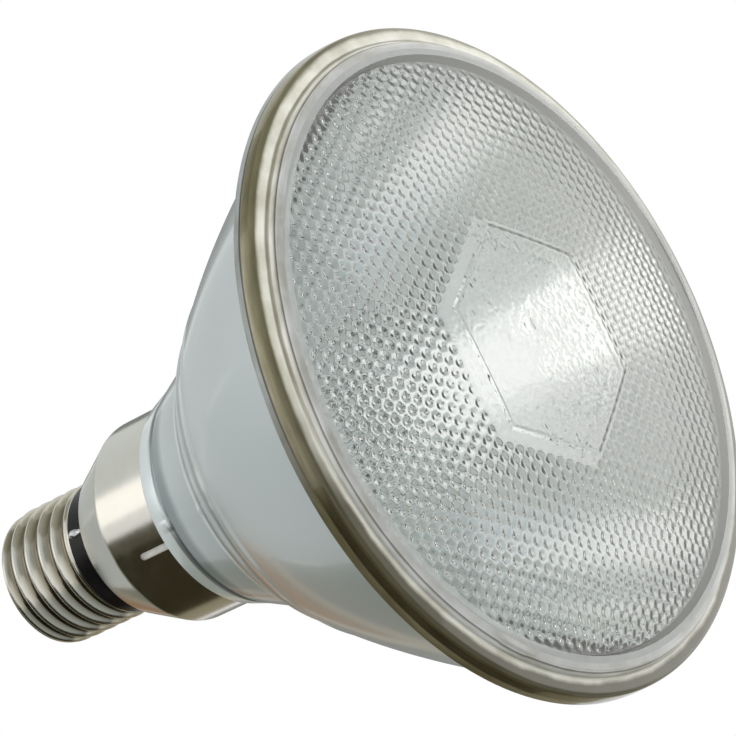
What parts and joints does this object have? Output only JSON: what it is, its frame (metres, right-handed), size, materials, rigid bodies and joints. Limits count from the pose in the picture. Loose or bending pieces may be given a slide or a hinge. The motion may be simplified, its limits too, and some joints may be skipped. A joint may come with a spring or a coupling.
{
  "type": "metal halide reflector bulb",
  "caption": "Metal halide reflector lamp: domed stippled glass lens, pale coated glass bowl and a skirted screw cap, with the arc tube inside.",
  "frame": {"origin": "tip of the centre contact, on the lamp's axis", "axes": "+Z runs along the lamp's axis from the screw cap to the lens; +X is the side turned to the viewer, with one skirt slit near it"},
  "size_m": [0.121, 0.121, 0.1302],
  "materials": {
    "lens_glass": "clear pressed glass, stippled on the inside",
    "coated_glass": "satin pale grey coat outside, bright mirror inside",
    "clear_tube": "clear glass",
    "white_cement": "matt white cement",
    "nickel_cap": "nickel-plated sheet brass",
    "black_insulator": "glossy black",
    "contact_brass": "tarnished brass",
    "tin_solder": "dull tin solder",
    "lead_wire": "nickel wire",
    "ferrule_metal": "drawn nickel iron",
    "support_wire": "nickel-plated wire",
    "arc_ceramic": "translucent sintered alumina",
    "tungsten": "dark tungsten",
    "seal_frit": "glassy frit",
    "clear_quartz": "clear quartz",
    "clip_steel": "stamped steel",
    "getter_metal": "grey sintered strip"
  },
  "bodies": {
    "root": {"lens": "lens_glass", "reflector": "coated_glass", "exhaust_tube": "clear_tube", "cement": "white_cement", "skirt": "nickel_cap", "screw_shell": "nickel_cap", "insulating_band": "black_insulator", "nose_glass": "black_insulator", "centre_contact": "contact_brass", "contact_solder": "tin_solder", "side_solder": "tin_solder", "contact_lead": "lead_wire", "shell_lead": "lead_wire", "contact_ferrule": "ferrule_metal", "shell_ferrule": "ferrule_metal", "long_support": "support_wire", "short_support": "support_wire", "arc_tube": "arc_ceramic", "upper_electrode": "tungsten", "lower_electrode": "tungsten", "upper_seal": "seal_frit", "lower_seal": "seal_frit", "shroud": "clear_quartz", "upper_clip": "clip_steel", "lower_clip": "clip_steel", "getter": "getter_metal"}
  },
  "joints": []
}
